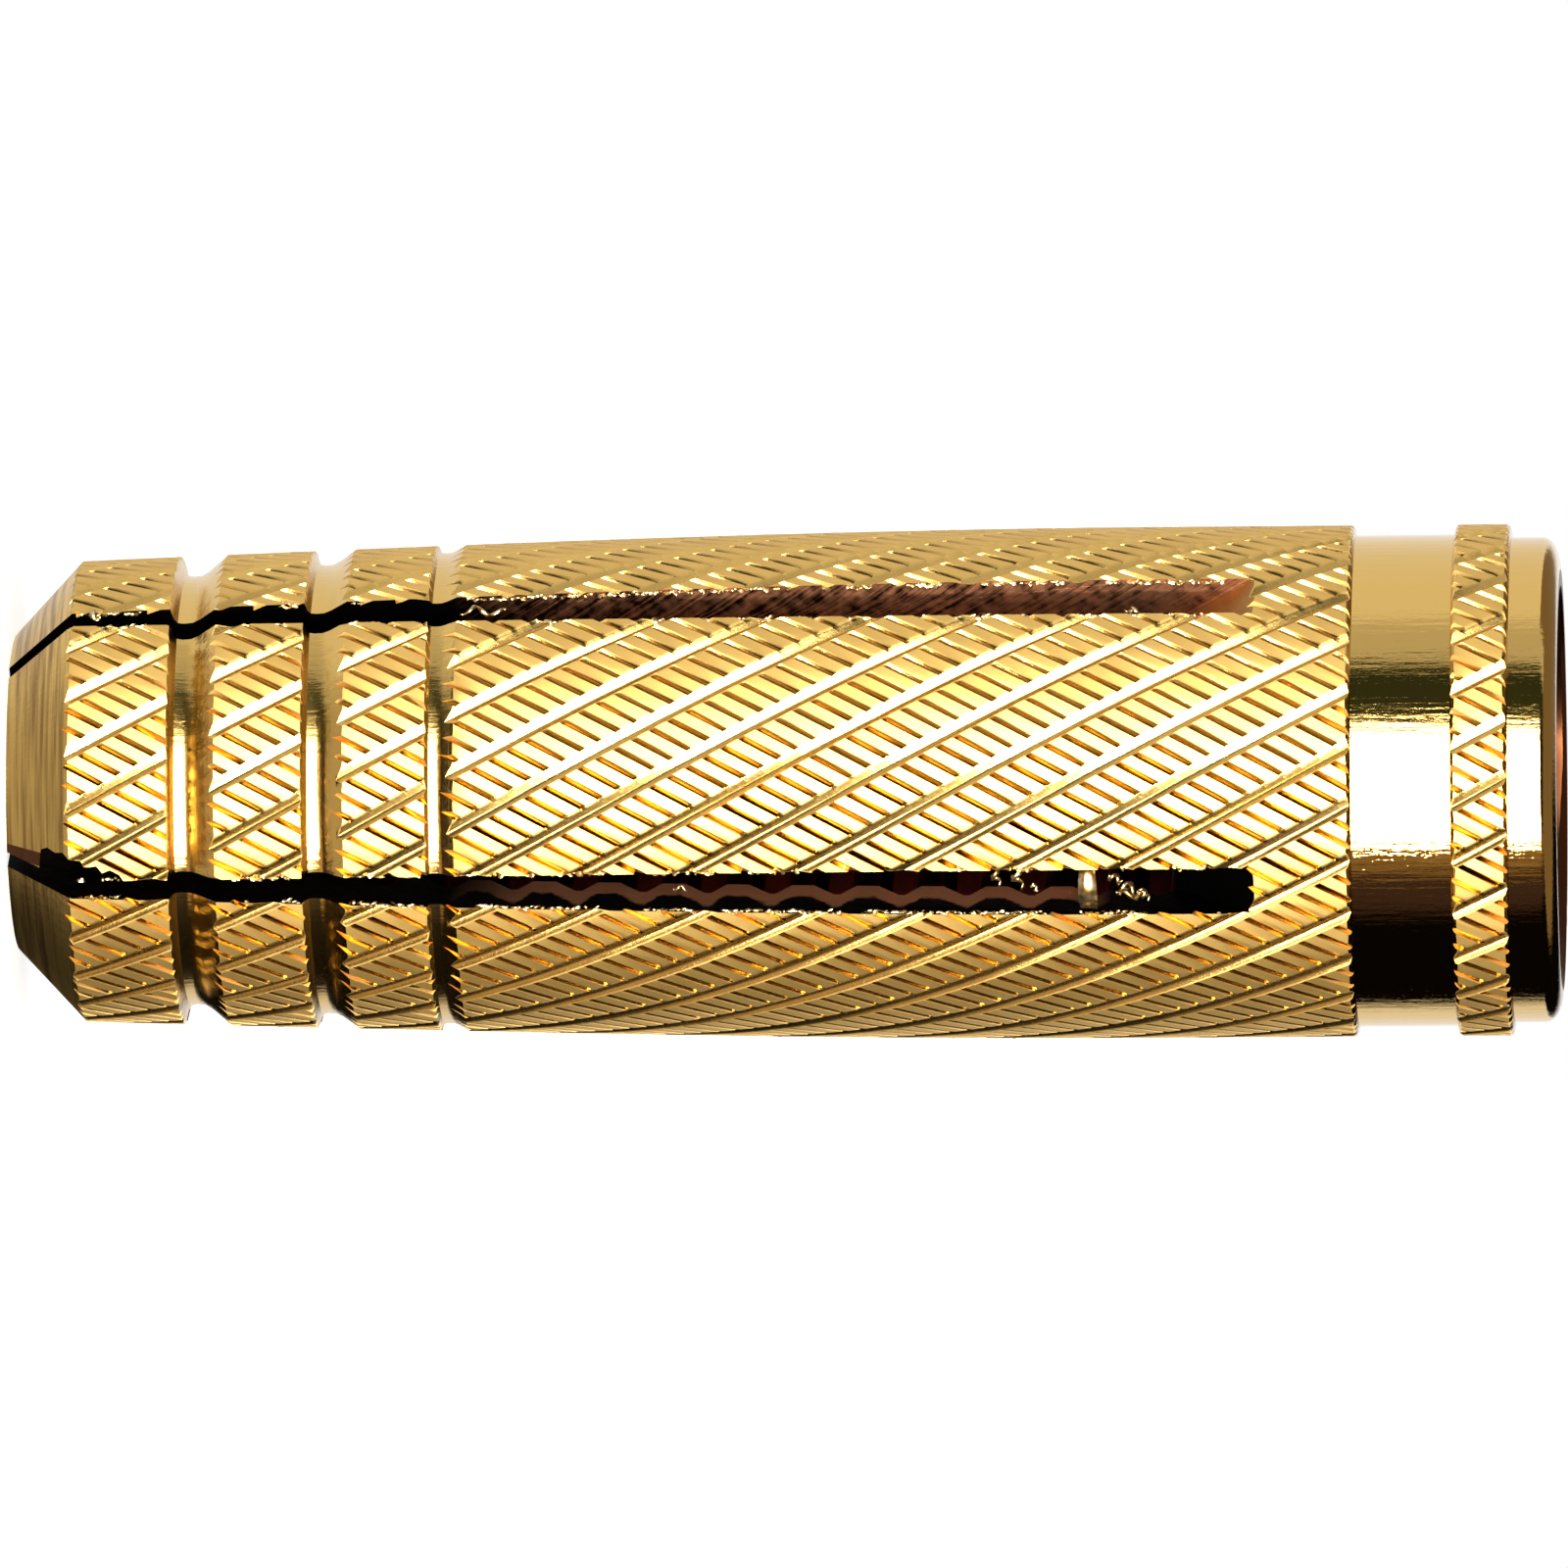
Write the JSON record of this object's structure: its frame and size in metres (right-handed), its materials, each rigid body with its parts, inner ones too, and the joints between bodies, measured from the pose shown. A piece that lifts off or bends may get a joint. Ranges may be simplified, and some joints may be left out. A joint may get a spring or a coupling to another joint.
{
  "type": "slotted expansion anchor",
  "caption": "Brass drop-in anchor: a knurled sleeve bored for a machine screw, with a collar at its mouth and sawn leaves squeezed together at its chamfered tip.",
  "frame": {"origin": "centre of the circle under the leaf tips, on the surface that the sleeve stands on", "axes": "+Z runs along the sleeve's axis from the leaf tips to the mouth where the screw goes in; +X points at the middle of one slot"},
  "size_m": [0.01, 0.01, 0.03],
  "materials": {
    "brass": "bright, turned and knurled"
  },
  "bodies": {
    "root": {"anchor_sleeve": "brass"}
  },
  "joints": []
}
